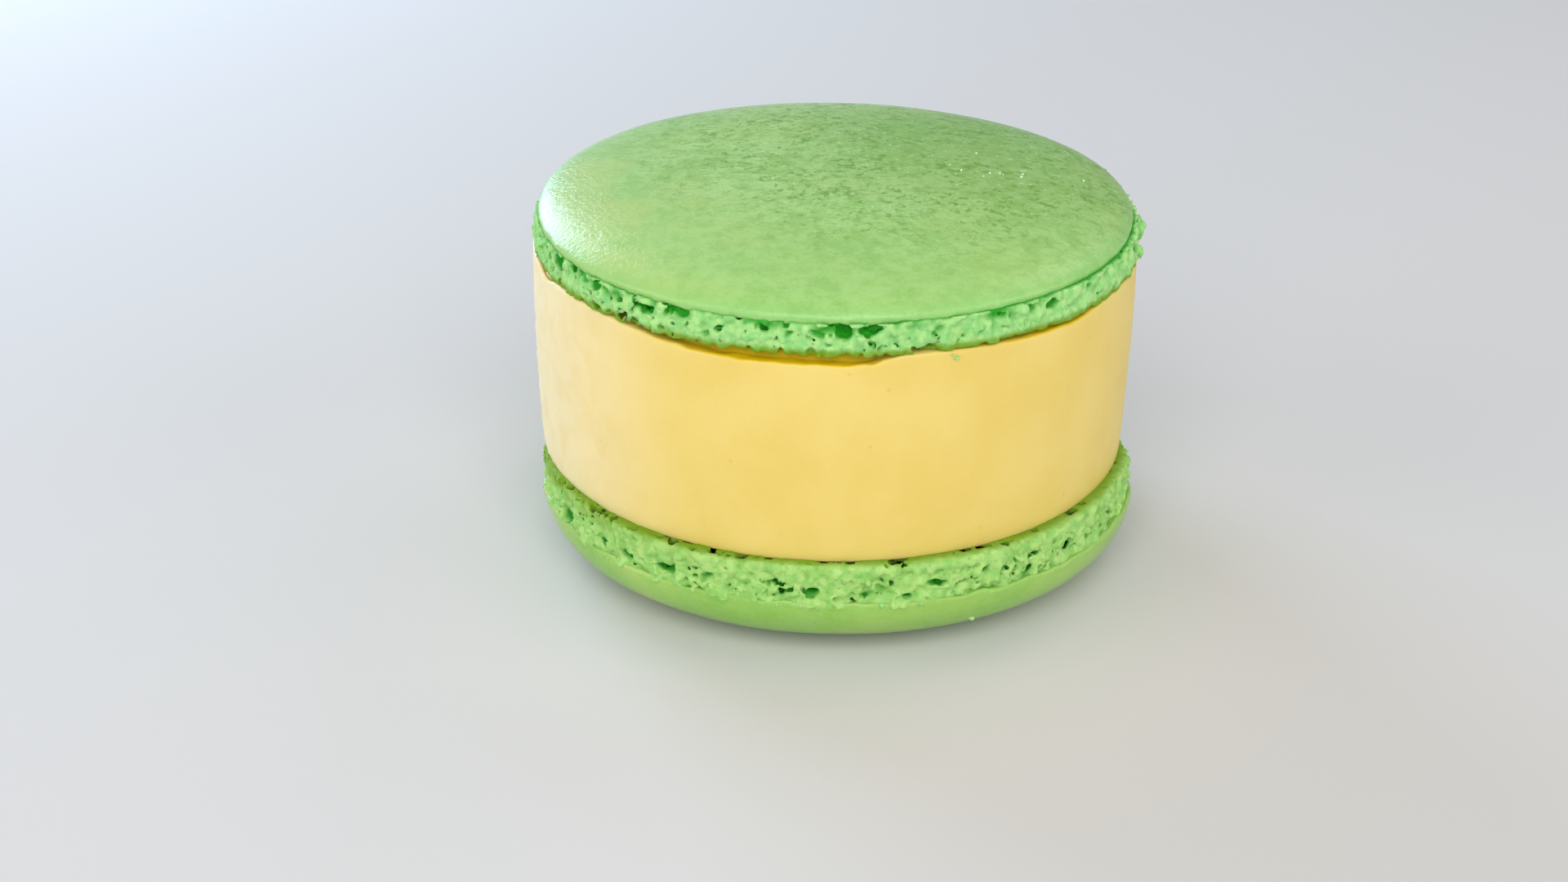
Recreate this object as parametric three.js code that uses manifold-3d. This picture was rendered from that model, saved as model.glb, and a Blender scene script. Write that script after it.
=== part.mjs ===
// Ice cream macaron: two round almond macaron shells with a thick disc of ice cream between them.
// Millimetres, +Z up. The origin is the centre of the flat spot that the lower shell rests on.
// Azimuth 0 points along +X, and azimuth -90 points along -Y, the front.

import * as THREE from 'three';
import { mergeVertices } from 'three/addons/utils/BufferGeometryUtils.js';
import Module from 'manifold-3d';

// ---- Driving dimensions -------------------------------------------------------------------

const SEGMENTS = 84;                 // steps round every disc
const LAYER_GAP = 0.3;               // air between a shell and the ice cream

const ICE_CREAM = {
  radius: 35.0,
  height: 24.1,
  centre: [-0.9, 0.4],               // the disc sits a little off the lower shell's axis
  taper: 0.35,                       // how much narrower the bottom is than the top
  belly: 0.25,                       // how far the side swells at mid height
  bottomEdge: 0.5,                   // radius of the rounded bottom edge
  topEdge: 0.45,                     // radius of the crisp top edge
  edgeSteps: 2,
  sideSteps: 2,
  // The worn stretch of the top rim: how deep, how far it draws the side in, and where it starts.
  dip: { azimuth: -101, halfWidth: 26, depth: 1.3, drawIn: 0.5, inner: 29, reach: 1.4 },
  flatEdge: 4,                       // width of the flat ring beside the rounded bottom edge
};

const UPPER_SHELL = {
  centre: [-0.8, 0.4],
  onItsDome: false,
  footHeight: 2.9,
  footRadius: 35.1,
  ledgeRadius: 34.5,                 // where the foot's face starts to roll over
  ledgeDrop: 0.45,                   // height of the roll between the face and the foot's side
  grooveDepth: 0.6,                  // the crease between the foot and the cap
  capRadius: 34.4,
  capLip: 0.7,                       // height from the crease to the cap's widest line
  domeHeight: 4.0,
  domeFullness: 2.2,                 // exponent: 2 is an ellipse, more is a blunter edge
  flatHeight: null,                  // a dome with no flat spot
  squareness: 0.003,                 // share by which the outline swells at its four corners
  drift: 0.004,                      // share by which the outline wanders
  phase: 0.6,                        // turns the unevenness, so that the shells differ
  backTrim: 0,                       // share by which the back half is drawn in
};

const LOWER_SHELL = {
  centre: [0, 0],
  onItsDome: true,                   // turned over, foot up
  footHeight: 4.3,
  footRadius: 35.7,
  ledgeRadius: 34.6,
  ledgeDrop: 0.7,
  grooveDepth: 0.3,
  capRadius: 35.8,
  capLip: 0.4,
  domeHeight: 7.75,
  domeFullness: 6.0,
  flatHeight: 7.4,                   // the dome is flat past this height: the spot it rests on
  squareness: 0.007,
  drift: 0.003,
  phase: 2.1,
  backTrim: 0.042,
};

const DOME_STEPS = 7;                // profile steps from the cap's widest line to its middle
const FOOT_STEPS = 5;                // profile steps up the foot
const FOOT_SWELL = 0.9;              // how far the foot's side bulges between its face and the crease
const CREASE_HEIGHT = 0.4;           // height over which the foot runs in to the crease
const BACK_EDGE = [-0.1, 0.2];       // sines of the azimuths between which the outline draws in
const LIP_TUCK = 0.2;                // how far the cap's lip curls in above the crease
const FOOT_ARC = [0.25, 0.85];       // the stretch of half a sine wave that the foot's side follows
const FACE_RING = 0.72;              // share of the face's radius where a ring of points lies

// The foot is a frill of baked bubbles: lumps of several widths in staggered rows. Each entry gives
// the number of lumps round the foot, how far they stand out in mm, and their rows up its height.
const FRILL_LUMPS = [
  { count: 5, stand: 0.20, rows: 0 },
  { count: 12, stand: 0.30, rows: 1 },
  { count: 19, stand: 0.34, rows: 2 },
  { count: 29, stand: 0.34, rows: 3 },
];
const STAGGER = { waves: 3, size: 0.8 };  // how the rows rise and fall round the foot, in radians

// Burst bubbles in the foot: even-spread pits, and single larger hollows, whose azimuths are those
// of the finished macaron.
const PITS = {
  count: 8,
  width: 1.5,
  depth: 1.0,
  height: 0.8,
  spread: 137.5,                     // degrees from one pit to the next
  sizes: [0.75, 1.25],               // range of sizes, as shares
  levels: [0.36, 0.66],              // range of heights, as shares of the foot's height
};
const UPPER_HOLLOWS = [
  { azimuth: -87, width: 5.6, height: 1.5, depth: 1.8 },
  { azimuth: -166, width: 2.4, height: 1.5, depth: 1.6 },
  { azimuth: -41, width: 3.0, height: 1.3, depth: 1.3 },
];
const LOWER_HOLLOWS = [
  { azimuth: -136, width: 3.4, height: 1.6, depth: 1.5 },
  { azimuth: -126, width: 3.8, height: 1.2, depth: 1.4 },
  { azimuth: -92, width: 3.4, height: 1.4, depth: 1.4 },
  { azimuth: -69, width: 3.6, height: 1.1, depth: 1.5 },
];
const HOLLOW_DETAIL = 1;             // subdivisions of the round cutter

// ---- Materials ----------------------------------------------------------------------------

const shellFinish = () => new THREE.MeshStandardMaterial({ color: 0x95c46e, roughness: 0.55, metalness: 0 });
const iceCreamFinish = () => new THREE.MeshStandardMaterial({ color: 0xf3d97e, roughness: 0.62, metalness: 0 });

// ---- Helpers ------------------------------------------------------------------------------

const wasm = await Module();
wasm.setup();

/** Turns a closed three.js geometry into a solid. */
function toSolid(geometry) {
  const bare = geometry.clone();
  bare.deleteAttribute('normal');
  bare.deleteAttribute('uv');
  const merged = mergeVertices(bare, 1e-4);
  return new wasm.Manifold(new wasm.Mesh({
    numProp: 3,
    vertProperties: new Float32Array(merged.attributes.position.array),
    triVerts: new Uint32Array(merged.index.array),
  }));
}

/** Turns a solid back into a geometry. */
function toGeometry(solid) {
  const mesh = solid.getMesh();
  const geometry = new THREE.BufferGeometry();
  geometry.setAttribute('position', new THREE.BufferAttribute(mesh.vertProperties, 3));
  geometry.setIndex(new THREE.BufferAttribute(mesh.triVerts, 1));
  geometry.computeVertexNormals();
  return geometry;
}

/** Spins a profile of [radius, height] points, from the lower axis point to the upper one, about Z. */
function spin(profile) {
  const points = profile.map(([radius, height]) => new THREE.Vector2(radius, height));
  const geometry = new THREE.LatheGeometry(points, SEGMENTS);
  geometry.rotateX(Math.PI / 2);
  return geometry;
}

/** Moves each vertex by a rule that takes its radius, azimuth and height and gives the new radius and height. */
function reshape(geometry, rule) {
  const position = geometry.attributes.position;
  for (let i = 0; i < position.count; i += 1) {
    const x = position.getX(i);
    const y = position.getY(i);
    const azimuth = Math.atan2(y, x);
    const [radius, height] = rule(Math.hypot(x, y), azimuth, position.getZ(i));
    position.setXYZ(i, radius * Math.cos(azimuth), radius * Math.sin(azimuth), height);
  }
  return geometry;
}

/** The points of a quarter-round edge, from start to end, both [radius, height]. */
function roundedEdge(centre, size, fromDegrees, toDegrees, steps) {
  const points = [];
  for (let i = 0; i <= steps; i += 1) {
    const angle = THREE.MathUtils.degToRad(THREE.MathUtils.lerp(fromDegrees, toDegrees, i / steps));
    points.push([centre[0] + size * Math.cos(angle), centre[1] + size * Math.sin(angle)]);
  }
  return points;
}

/** A smooth hump: 1 at the middle, 0 from halfWidth degrees away. */
function hump(azimuth, middleDegrees, halfWidthDegrees) {
  const away = THREE.MathUtils.euclideanModulo(
    THREE.MathUtils.radToDeg(azimuth) - middleDegrees + 180, 360) - 180;
  return THREE.MathUtils.smootherstep(1 - Math.abs(away) / halfWidthDegrees, 0, 1);
}

// ---- Macaron shell, built with its foot down and its dome up -------------------------------

/** The dome: a superellipse from the cap's widest line in to the axis. */
function domeProfile(shell, start) {
  const points = [];
  const top = shell.flatHeight ?? shell.domeHeight;
  const flatAngle = Math.acos(top / shell.domeHeight);
  for (let i = 0; i <= DOME_STEPS; i += 1) {
    const angle = THREE.MathUtils.lerp(Math.PI / 2, flatAngle, i / DOME_STEPS);
    const radius = shell.capRadius * Math.sin(angle) ** (2 / shell.domeFullness);
    points.push([radius, start + shell.domeHeight * Math.cos(angle)]);
  }
  if (flatAngle > 0) {
    points.push([0, start + top]);
  }
  return points;
}

/** The whole profile of a shell: face, ledge, frilled foot, crease, cap lip and dome. */
function shellProfile(shell) {
  const points = [[0, 0], [shell.ledgeRadius * FACE_RING, 0], [shell.ledgeRadius, 0]];
  for (let i = 0; i <= FOOT_STEPS; i += 1) {
    const share = i / FOOT_STEPS;
    const swell = Math.sin(Math.PI * THREE.MathUtils.lerp(...FOOT_ARC, share));
    points.push([
      shell.footRadius - FOOT_SWELL * (1 - swell),
      THREE.MathUtils.lerp(shell.ledgeDrop, shell.footHeight - CREASE_HEIGHT, share),
    ]);
  }
  points.push([shell.capRadius - shell.grooveDepth, shell.footHeight]);
  points.push([shell.capRadius - LIP_TUCK, shell.footHeight + LIP_TUCK / 2]);
  points.push(...domeProfile(shell, shell.footHeight + shell.capLip));
  return points;
}

/** How far the frill stands out at one azimuth and share of the foot's height. */
function frill(azimuth, share, phase) {
  return FRILL_LUMPS.reduce((sum, { count, stand, rows }) => {
    const round = Math.sin(count * (azimuth + phase));
    const stagger = STAGGER.size * Math.sin(STAGGER.waves * azimuth + count);
    return sum + stand * round * Math.cos(Math.PI * rows * share + stagger);
  }, 0);
}

/** One shell's outer body: the spun profile with its uneven outline and frilled foot. */
function shellBody(shell) {
  const backwards = shell.onItsDome ? -1 : 1;
  return reshape(spin(shellProfile(shell)), (radius, azimuth, height) => {
    const behind = THREE.MathUtils.smoothstep(backwards * Math.sin(azimuth), ...BACK_EDGE);
    const outline = 1 - shell.backTrim * behind - shell.squareness * Math.cos(4 * azimuth)
      + shell.drift * Math.sin(3 * azimuth + shell.phase)
      + 0.5 * shell.drift * Math.sin(2 * azimuth - shell.phase);
    const share = THREE.MathUtils.clamp(height / shell.footHeight, 0, 1);
    const onFoot = Math.sin(Math.PI * share) ** 0.5;
    return [radius * outline + onFoot * frill(azimuth, share, shell.phase), height];
  });
}

/** A flattened ball that cuts one hollow into the foot. */
function hollowCutter(shell, { azimuth, width, height, depth }, level) {
  const ball = new THREE.IcosahedronGeometry(0.5, HOLLOW_DETAIL);
  ball.scale(2 * depth, width, height);
  ball.rotateX(0.3 * Math.sin(azimuth));
  ball.translate(shell.footRadius, 0, level);
  ball.rotateZ(THREE.MathUtils.degToRad(azimuth));
  return toSolid(ball);
}

/** A shell with its burst bubbles cut out. */
function macaronShell(shell, hollows) {
  let solid = toSolid(shellBody(shell));
  for (let i = 0; i < PITS.count; i += 1) {
    const size = THREE.MathUtils.lerp(...PITS.sizes, Math.sin(2.6 * i + shell.phase) ** 2);
    const pit = {
      azimuth: PITS.spread * i + 40 * shell.phase,
      width: PITS.width * size,
      height: PITS.height * size,
      depth: PITS.depth * size,
    };
    const level = shell.footHeight * THREE.MathUtils.lerp(...PITS.levels, Math.sin(1.9 * i) ** 2);
    solid = solid.subtract(hollowCutter(shell, pit, level));
  }
  for (const hollow of hollows) {
    const placed = { ...hollow, azimuth: shell.onItsDome ? -hollow.azimuth : hollow.azimuth };
    solid = solid.subtract(hollowCutter(shell, placed, shell.footHeight - 0.45 * hollow.height));
  }
  return toGeometry(solid);
}

// ---- Ice cream ----------------------------------------------------------------------------

/** The disc's profile: flat faces, a rounded bottom edge, a slightly full side and a crisp top edge. */
function iceCreamProfile(spec) {
  const { radius, height, taper, belly, bottomEdge, topEdge, edgeSteps, sideSteps, dip, flatEdge } = spec;
  const bottomRadius = radius - taper;
  const points = [[0, 0], [bottomRadius - bottomEdge - flatEdge, 0]];
  points.push(...roundedEdge([bottomRadius - bottomEdge, bottomEdge], bottomEdge, -90, 0, edgeSteps));
  for (let i = 1; i <= sideSteps; i += 1) {
    const share = i / (sideSteps + 1);
    points.push([
      bottomRadius + taper * share + belly * Math.sin(Math.PI * share),
      THREE.MathUtils.lerp(bottomEdge, height - topEdge, share),
    ]);
  }
  points.push(...roundedEdge([radius - topEdge, height - topEdge], topEdge, 0, 90, 2));
  points.push([dip.inner, height], [0, height]);
  return points;
}

/** The ice cream disc, with the worn stretch of its top rim. */
function iceCreamDisc(spec) {
  const { dip, height: full } = spec;
  return reshape(spin(iceCreamProfile(spec)), (radius, azimuth, height) => {
    const nearTop = THREE.MathUtils.smoothstep(height, full - dip.reach, full - spec.topEdge);
    const nearRim = THREE.MathUtils.smoothstep(radius, dip.inner, spec.radius - spec.topEdge);
    const worn = dip.depth * hump(azimuth, dip.azimuth, dip.halfWidth) * nearTop * nearRim;
    return [radius - (dip.drawIn / dip.depth) * worn, height - worn];
  });
}

// ---- Assembly -----------------------------------------------------------------------------

const lowerTop = LOWER_SHELL.footHeight + LOWER_SHELL.capLip + LOWER_SHELL.flatHeight;
const iceCreamBase = lowerTop + LAYER_GAP;
const upperBase = iceCreamBase + ICE_CREAM.height + LAYER_GAP;

const macaron = new THREE.Group();

const lowerShell = new THREE.Mesh(macaronShell(LOWER_SHELL, LOWER_HOLLOWS), shellFinish());
lowerShell.name = 'shell_bottom';
lowerShell.rotation.x = Math.PI;     // turned over about X, so its azimuths change sign
lowerShell.position.set(...LOWER_SHELL.centre, lowerTop);
macaron.add(lowerShell);

const iceCream = new THREE.Mesh(iceCreamDisc(ICE_CREAM), iceCreamFinish());
iceCream.name = 'ice_cream';
iceCream.position.set(...ICE_CREAM.centre, iceCreamBase);
macaron.add(iceCream);

const upperShell = new THREE.Mesh(macaronShell(UPPER_SHELL, UPPER_HOLLOWS), shellFinish());
upperShell.name = 'shell_top';
upperShell.position.set(...UPPER_SHELL.centre, upperBase);
macaron.add(upperShell);

export default macaron;
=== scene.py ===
"""Ice cream macaron: two green almond macaron shells with a thick disc of ice cream between them.

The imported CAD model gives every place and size. Each class builds one layer of the macaron, in
millimetres about that layer's own axis, and then sets it where the CAD node lies. A shell is built
with its foot down and its dome up; the lower one is then turned over.
"""

import logging
import math
import random
from dataclasses import dataclass, field
from enum import Enum

import bmesh
import bpy
from mathutils import Matrix, Quaternion, Vector, noise


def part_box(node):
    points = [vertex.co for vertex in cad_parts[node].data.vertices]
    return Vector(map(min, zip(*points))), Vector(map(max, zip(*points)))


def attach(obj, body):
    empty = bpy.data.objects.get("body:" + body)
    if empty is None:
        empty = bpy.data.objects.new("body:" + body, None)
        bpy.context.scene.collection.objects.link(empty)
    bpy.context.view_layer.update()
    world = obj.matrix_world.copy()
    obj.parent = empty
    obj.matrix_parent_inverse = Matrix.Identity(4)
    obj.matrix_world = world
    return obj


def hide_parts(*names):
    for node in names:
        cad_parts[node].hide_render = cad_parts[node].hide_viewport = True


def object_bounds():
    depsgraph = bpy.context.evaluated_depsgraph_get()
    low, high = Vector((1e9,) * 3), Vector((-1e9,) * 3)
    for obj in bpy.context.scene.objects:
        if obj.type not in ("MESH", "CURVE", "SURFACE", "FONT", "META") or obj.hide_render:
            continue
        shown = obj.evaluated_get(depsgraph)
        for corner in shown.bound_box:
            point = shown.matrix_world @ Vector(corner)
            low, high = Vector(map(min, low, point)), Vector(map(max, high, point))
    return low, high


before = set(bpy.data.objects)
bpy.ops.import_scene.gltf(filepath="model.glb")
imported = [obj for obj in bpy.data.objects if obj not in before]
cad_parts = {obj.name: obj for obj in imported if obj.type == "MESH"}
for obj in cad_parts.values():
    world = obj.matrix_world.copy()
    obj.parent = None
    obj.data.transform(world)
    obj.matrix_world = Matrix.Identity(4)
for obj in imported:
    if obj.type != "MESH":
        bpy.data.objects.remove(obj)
CAD_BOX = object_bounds()

BMesh, Material = bmesh.types.BMesh, bpy.types.Material
NodeSocket, NodeTree = bpy.types.NodeSocket, bpy.types.NodeTree
LOG = logging.getLogger("macaron")
MM = 0.001
FULL_TURN = 2.0 * math.pi
BACK_EDGE = (-0.25, 0.05)  # sines of the azimuths between which an outline draws in


class Slot(Enum):
    """The record's material slots."""

    SHELL = "macaron_shell"
    ICE_CREAM = "ice_cream"


# ---- Nodes ----


def add_node(tree: NodeTree, kind: str, settings: dict | None = None,
             inputs: dict | None = None) -> bpy.types.Node:
    """Adds one node with its settings and its inputs.

    Args:
        tree: The node tree that gets the node.
        kind: The node's Blender type name.
        settings: Values for the node's own properties.
        inputs: Socket name or number to a plain value, a Field or another node's output socket.

    Returns:
        The new node.
    """
    node = tree.nodes.new(kind)
    for name, value in (settings or {}).items():
        setattr(node, name, value)
    for key, value in (inputs or {}).items():
        if isinstance(value, Field):
            value = value.socket
        if isinstance(value, NodeSocket):
            tree.links.new(value, node.inputs[key])
        else:
            node.inputs[key].default_value = value
    return node


@dataclass(frozen=True)
class Field:
    """A number that varies from place to place; arithmetic on it grows its node tree."""

    tree: NodeTree
    socket: NodeSocket

    @classmethod
    def of(cls, tree: NodeTree, kind: str, inputs: dict, output: int | str = 0,
           settings: dict | None = None) -> "Field":
        """Adds one node and takes one of its outputs.

        Args:
            tree: The node tree that gets the node.
            kind: The node's Blender type name.
            inputs: Its inputs, as for add_node.
            output: The name or number of the output.
            settings: Values for the node's own properties.

        Returns:
            The output, as a field.
        """
        return cls(tree, add_node(tree, kind, settings, inputs).outputs[output])

    def math(self, operation: str, *others: "Field | float") -> "Field":
        """Works out one operation on this number and others.

        Args:
            operation: The math node's operation.
            others: Its second and third values.

        Returns:
            The result.
        """
        return Field.of(self.tree, "ShaderNodeMath", dict(enumerate((self, *others))), 0,
                        {"operation": operation})

    def __add__(self, other: "Field | float") -> "Field":
        """Adds another number."""
        return self.math("ADD", other)

    def __sub__(self, other: "Field | float") -> "Field":
        """Takes another number away."""
        return self.math("SUBTRACT", other)

    def __mul__(self, other: "Field | float") -> "Field":
        """Multiplies by another number."""
        return self.math("MULTIPLY", other)

    def ramp(self, low: float, high: float, at_low: float = 0.0, at_high: float = 1.0) -> "Field":
        """Makes a smooth step as the number goes from low to high.

        Args:
            low: Where the step starts.
            high: Where it ends.
            at_low: The result up to its start.
            at_high: The result from its end.

        Returns:
            The step.
        """
        return Field.of(self.tree, "ShaderNodeMapRange",
                        {"Value": self, "From Min": low, "From Max": high, "To Min": at_low,
                         "To Max": at_high}, 0, {"interpolation_type": "SMOOTHSTEP"})


def level_distance(tree: NodeTree, where: NodeSocket, middle: tuple[float, float]) -> Field:
    """Works out how far each place lies from an upright axis.

    Args:
        tree: The node tree that works it out.
        where: The places.
        middle: Where the axis stands, seen from above, in the unit of the places.

    Returns:
        The level distance.
    """
    offset = add_node(tree, "ShaderNodeVectorMath", {"operation": "SUBTRACT"},
                      {0: where, 1: (*middle, 0.0)})
    flat = add_node(tree, "ShaderNodeVectorMath", {"operation": "MULTIPLY"},
                    {0: offset.outputs[0], 1: (1.0, 1.0, 0.0)})
    return Field.of(tree, "ShaderNodeVectorMath", {0: flat.outputs[0]}, "Value",
                    {"operation": "LENGTH"})


def linear(hex_colour: str) -> tuple[float, float, float, float]:
    """Turns an sRGB hex colour into linear RGBA.

    Args:
        hex_colour: Six hex digits after a #.

    Returns:
        Linear red, green, blue and an alpha of 1.
    """
    channels = [int(hex_colour[i:i + 2], 16) / 255.0 for i in (1, 3, 5)]
    straight = [c / 12.92 if c <= 0.04045 else ((c + 0.055) / 1.055) ** 2.4 for c in channels]
    return (*straight, 1.0)


# ---- Shapes ----


def step_between(value: float, low: float, high: float) -> float:
    """A smooth step from 0 at low to 1 at high."""
    share = min(1.0, max(0.0, (value - low) / (high - low)))
    return share * share * (3.0 - 2.0 * share)


def grain_noise(spot: Vector, size: float, seed: float) -> float:
    """Fractal noise from about -1 to 1 whose largest features are about size across."""
    return noise.fractal(spot / size + Vector((seed, 2.0 * seed, 5.0)), 0.9, 2.1, 3)


def spun(profile: list[tuple[float, float]], steps: int) -> BMesh:
    """Spins a profile of (radius, height) points about Z into a closed body.

    Args:
        profile: Points from one end on the axis to the other end on the axis.
        steps: Faces round the body.

    Returns:
        A closed bmesh with its faces pointing out.
    """
    bm = bmesh.new()
    verts = [bm.verts.new((radius, 0.0, height)) for radius, height in profile]
    edges = [bm.edges.new(pair) for pair in zip(verts, verts[1:])]
    bmesh.ops.spin(bm, geom=verts + edges, cent=(0, 0, 0), axis=(0, 0, 1), dvec=(0, 0, 0),
                   angle=FULL_TURN, steps=steps, use_merge=True)
    bmesh.ops.remove_doubles(bm, verts=bm.verts, dist=1e-4)
    bmesh.ops.recalc_face_normals(bm, faces=bm.faces)
    return bm


def in_scene(name: str, data: bpy.types.ID) -> bpy.types.Object:
    """Makes an object and links it to the scene.

    Args:
        name: The object's name.
        data: Its mesh, light or camera.

    Returns:
        The object.
    """
    item = bpy.data.objects.new(name, data)
    bpy.context.scene.collection.objects.link(item)
    return item


def finish_piece(bm: BMesh, name: str, place: Matrix, finish: Material) -> bpy.types.Object:
    """Turns a bmesh in millimetres into a finished piece that rides on the macaron.

    Args:
        bm: The shape, about its layer's own axis.
        name: The piece's name.
        place: Where the layer lies, in millimetres.
        finish: Its material.

    Returns:
        The object, at the origin with its place in its mesh.
    """
    bm.transform(Matrix.Scale(MM, 4) @ place)
    bmesh.ops.recalc_face_normals(bm, faces=bm.faces)
    mesh = bpy.data.meshes.new(name)
    bm.to_mesh(mesh)
    bm.free()
    mesh.shade_smooth()
    mesh.materials.append(finish)
    piece = in_scene(name, mesh)
    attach(piece, "root")
    LOG.info("%s: %d faces", name, len(mesh.polygons))
    return piece


def ice_base() -> Vector:
    """The middle of the ice cream's base, in millimetres; the shells are set out from it."""
    low, high = (Vector(corner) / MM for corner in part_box("ice_cream"))
    return Vector(((low.x + high.x) / 2.0, (low.y + high.y) / 2.0, low.z))


# ---- Finishes ----


class Surface:
    """A material under way: its tree, its shader and the place that its patterns read."""

    def __init__(self, name: str, settings: dict[str, float | tuple[float, ...]]) -> None:
        """Starts a material on the Principled shader.

        Args:
            name: The material's name.
            settings: Values for the shader's own sockets.
        """
        self.material = bpy.data.materials.new(name)
        self.material.use_nodes = True
        self.tree = self.material.node_tree
        self.shader = self.tree.nodes["Principled BSDF"]
        self.where = add_node(self.tree, "ShaderNodeTexCoord").outputs["Object"]
        for socket, value in settings.items():
            self.shader.inputs[socket].default_value = value

    def layers(self, colour: str | NodeSocket,
               over: list[tuple[Field, str | NodeSocket]]) -> NodeSocket:
        """Lays colours over one another, each an sRGB hex value or another node's output.

        Args:
            colour: The lowest colour.
            over: The share and the colour of each layer over it, from the lowest up.

        Returns:
            The output that holds them all.
        """
        for share, above in over:
            below, above = (linear(c) if isinstance(c, str) else c for c in (colour, above))
            colour = add_node(self.tree, "ShaderNodeMix", {"data_type": "RGBA"},
                              {"Factor": share, "A": below, "B": above}).outputs["Result"]
        return colour

    def finished(self, colour: NodeSocket, relief: Field | None = None,
                 depth_mm: float = 0.0, strength: float = 0.7,
                 relieved: tuple[str, ...] = ("Normal",)) -> Material:
        """Links the colour and the fine relief to the shader.

        Args:
            colour: The output that holds the colour.
            relief: The height of the relief, if it has any.
            depth_mm: How deep the relief is.
            strength: The share of it that shows.
            relieved: The shader's sockets that follow the relief.

        Returns:
            The material.
        """
        self.tree.links.new(colour, self.shader.inputs["Base Color"])
        if relief is not None:
            bump = add_node(self.tree, "ShaderNodeBump", {},
                            {"Height": relief, "Distance": depth_mm * MM, "Strength": strength})
            for socket in relieved:
                self.tree.links.new(bump.outputs["Normal"], self.shader.inputs[socket])
        return self.material


@dataclass(frozen=True)
class BakedMeringueSkin:
    """The cap of a macaron shell: dried almond meringue, baked to a thin satin skin.

    The skin is smooth and dull-shiny, mottled all over with darker flecks of almond that thin out
    towards a paler, plainer rim. Painted shade darkens it towards the back and right. The mesh
    attribute lip marks the thin rolled edge, which gets a painted reflection of the pale sky.
    """

    name: str = "baked_meringue_skin"
    base: str = "#88bc58"
    pale: str = "#a7d27c"
    warm: str = "#b4ca6c"
    fleck: str = "#5f9420"
    speck: str = "#c6e6ac"
    # painted shade, darkest towards the back and right of the cap
    back_shade: str = "#58981e"
    # painted reflection of the pale sky on the steep rolled lip
    lip: str = "#80bc6a"
    blotch_mm: float = 8.0  # soft patches of paler skin
    mottle_mm: float = 1.8  # almond meal that shows through
    fleck_mm: float = 1.0  # almond flecks
    cluster_mm: float = 5.0  # where the flecks crowd together
    peel_mm: float = 0.6  # fine wrinkling that breaks up the shine
    fleck_share: float = 0.85
    lip_sheen_share: float = 0.5  # how much painted reflection of the pale sky the thin rolled lip shows
    middle_mm: tuple[float, float] = (8.0, 11.0)  # where the flecks are thickest
    plain_rim: tuple[float, float] = (18.0, 40.0)  # from thick to thin, from there
    back_shade_mm: tuple[float, float] = (20.0, 12.0)  # middle of the painted shade, towards the back and right
    back_shade_rim: tuple[float, float] = (8.0, 36.0)
    warm_side: tuple[float, float] = (-28.0, -6.0)  # from warm to plain, along X
    bump_mm: float = 0.13

    def material(self) -> Material:
        """Builds the material.

        Returns:
            The material.
        """
        surface = Surface(self.name, {
            "Roughness": 0.6, "Specular IOR Level": 0.25, "Coat Weight": 0.6,
            "Coat Roughness": 0.14, "Subsurface Weight": 0.12,
            "Subsurface Radius": (0.6, 1.0, 0.25), "Subsurface Scale": 0.8 * MM})
        tree, where = surface.tree, surface.where
        blotches, meal, warm, flecks, clusters, specks, peel = (
            Field.of(tree, "ShaderNodeTexNoise", {"Vector": where, "Scale": 1.0 / (size * MM),
                                                  "Detail": detail, "Roughness": roughness})
            for size, detail, roughness in (
                (self.blotch_mm, 3.0, 0.55), (self.mottle_mm, 6.0, 0.72),
                (2.2 * self.blotch_mm, 2.0, 0.5), (self.fleck_mm, 4.0, 0.7),
                (self.cluster_mm, 2.0, 0.5), (self.peel_mm, 2.0, 0.5), (self.peel_mm, 3.0, 0.6)))
        middle, back_shade = (
            level_distance(tree, where, (x * MM, y * MM)).ramp(full * MM, thin * MM, 1.0, least)
            for (x, y), (full, thin), least in ((self.middle_mm, self.plain_rim, 0.12),
                                                (self.back_shade_mm, self.back_shade_rim, 0.0)))
        across = Field.of(tree, "ShaderNodeSeparateXYZ", {0: where}, "X")
        warmth = across.ramp(self.warm_side[0] * MM, self.warm_side[1] * MM, 0.6, 0.2)
        lip = Field.of(tree, "ShaderNodeAttribute", {}, "Fac", {"attribute_name": "lip"})
        mealy = (blotches * 0.3 + meal * 0.7).ramp(0.4, 0.6) - 0.6
        speckled = (flecks * 0.75 + meal * -0.25 + 0.25).ramp(0.51, 0.59, 0.0, self.fleck_share)
        colour = surface.layers(self.base, [
            (mealy * (middle * 0.6 + 0.4) + 0.6, self.pale),
            (warm.ramp(0.42, 0.62) * warmth, self.warm),
            # painted shade towards the back and right
            (back_shade * self.fleck_share * 0.45, self.back_shade),
            (speckled * clusters.ramp(0.36, 0.6, 0.4, 1.0) * middle, self.fleck),
            (specks.ramp(0.6, 0.72, 0.0, 0.5) * middle, self.speck),
            # painted reflection of the pale sky on the rolled lip
            (lip * self.lip_sheen_share, self.lip)])
        return surface.finished(colour, peel - flecks * middle, self.bump_mm,
                                relieved=("Normal", "Coat Normal"))


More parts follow.
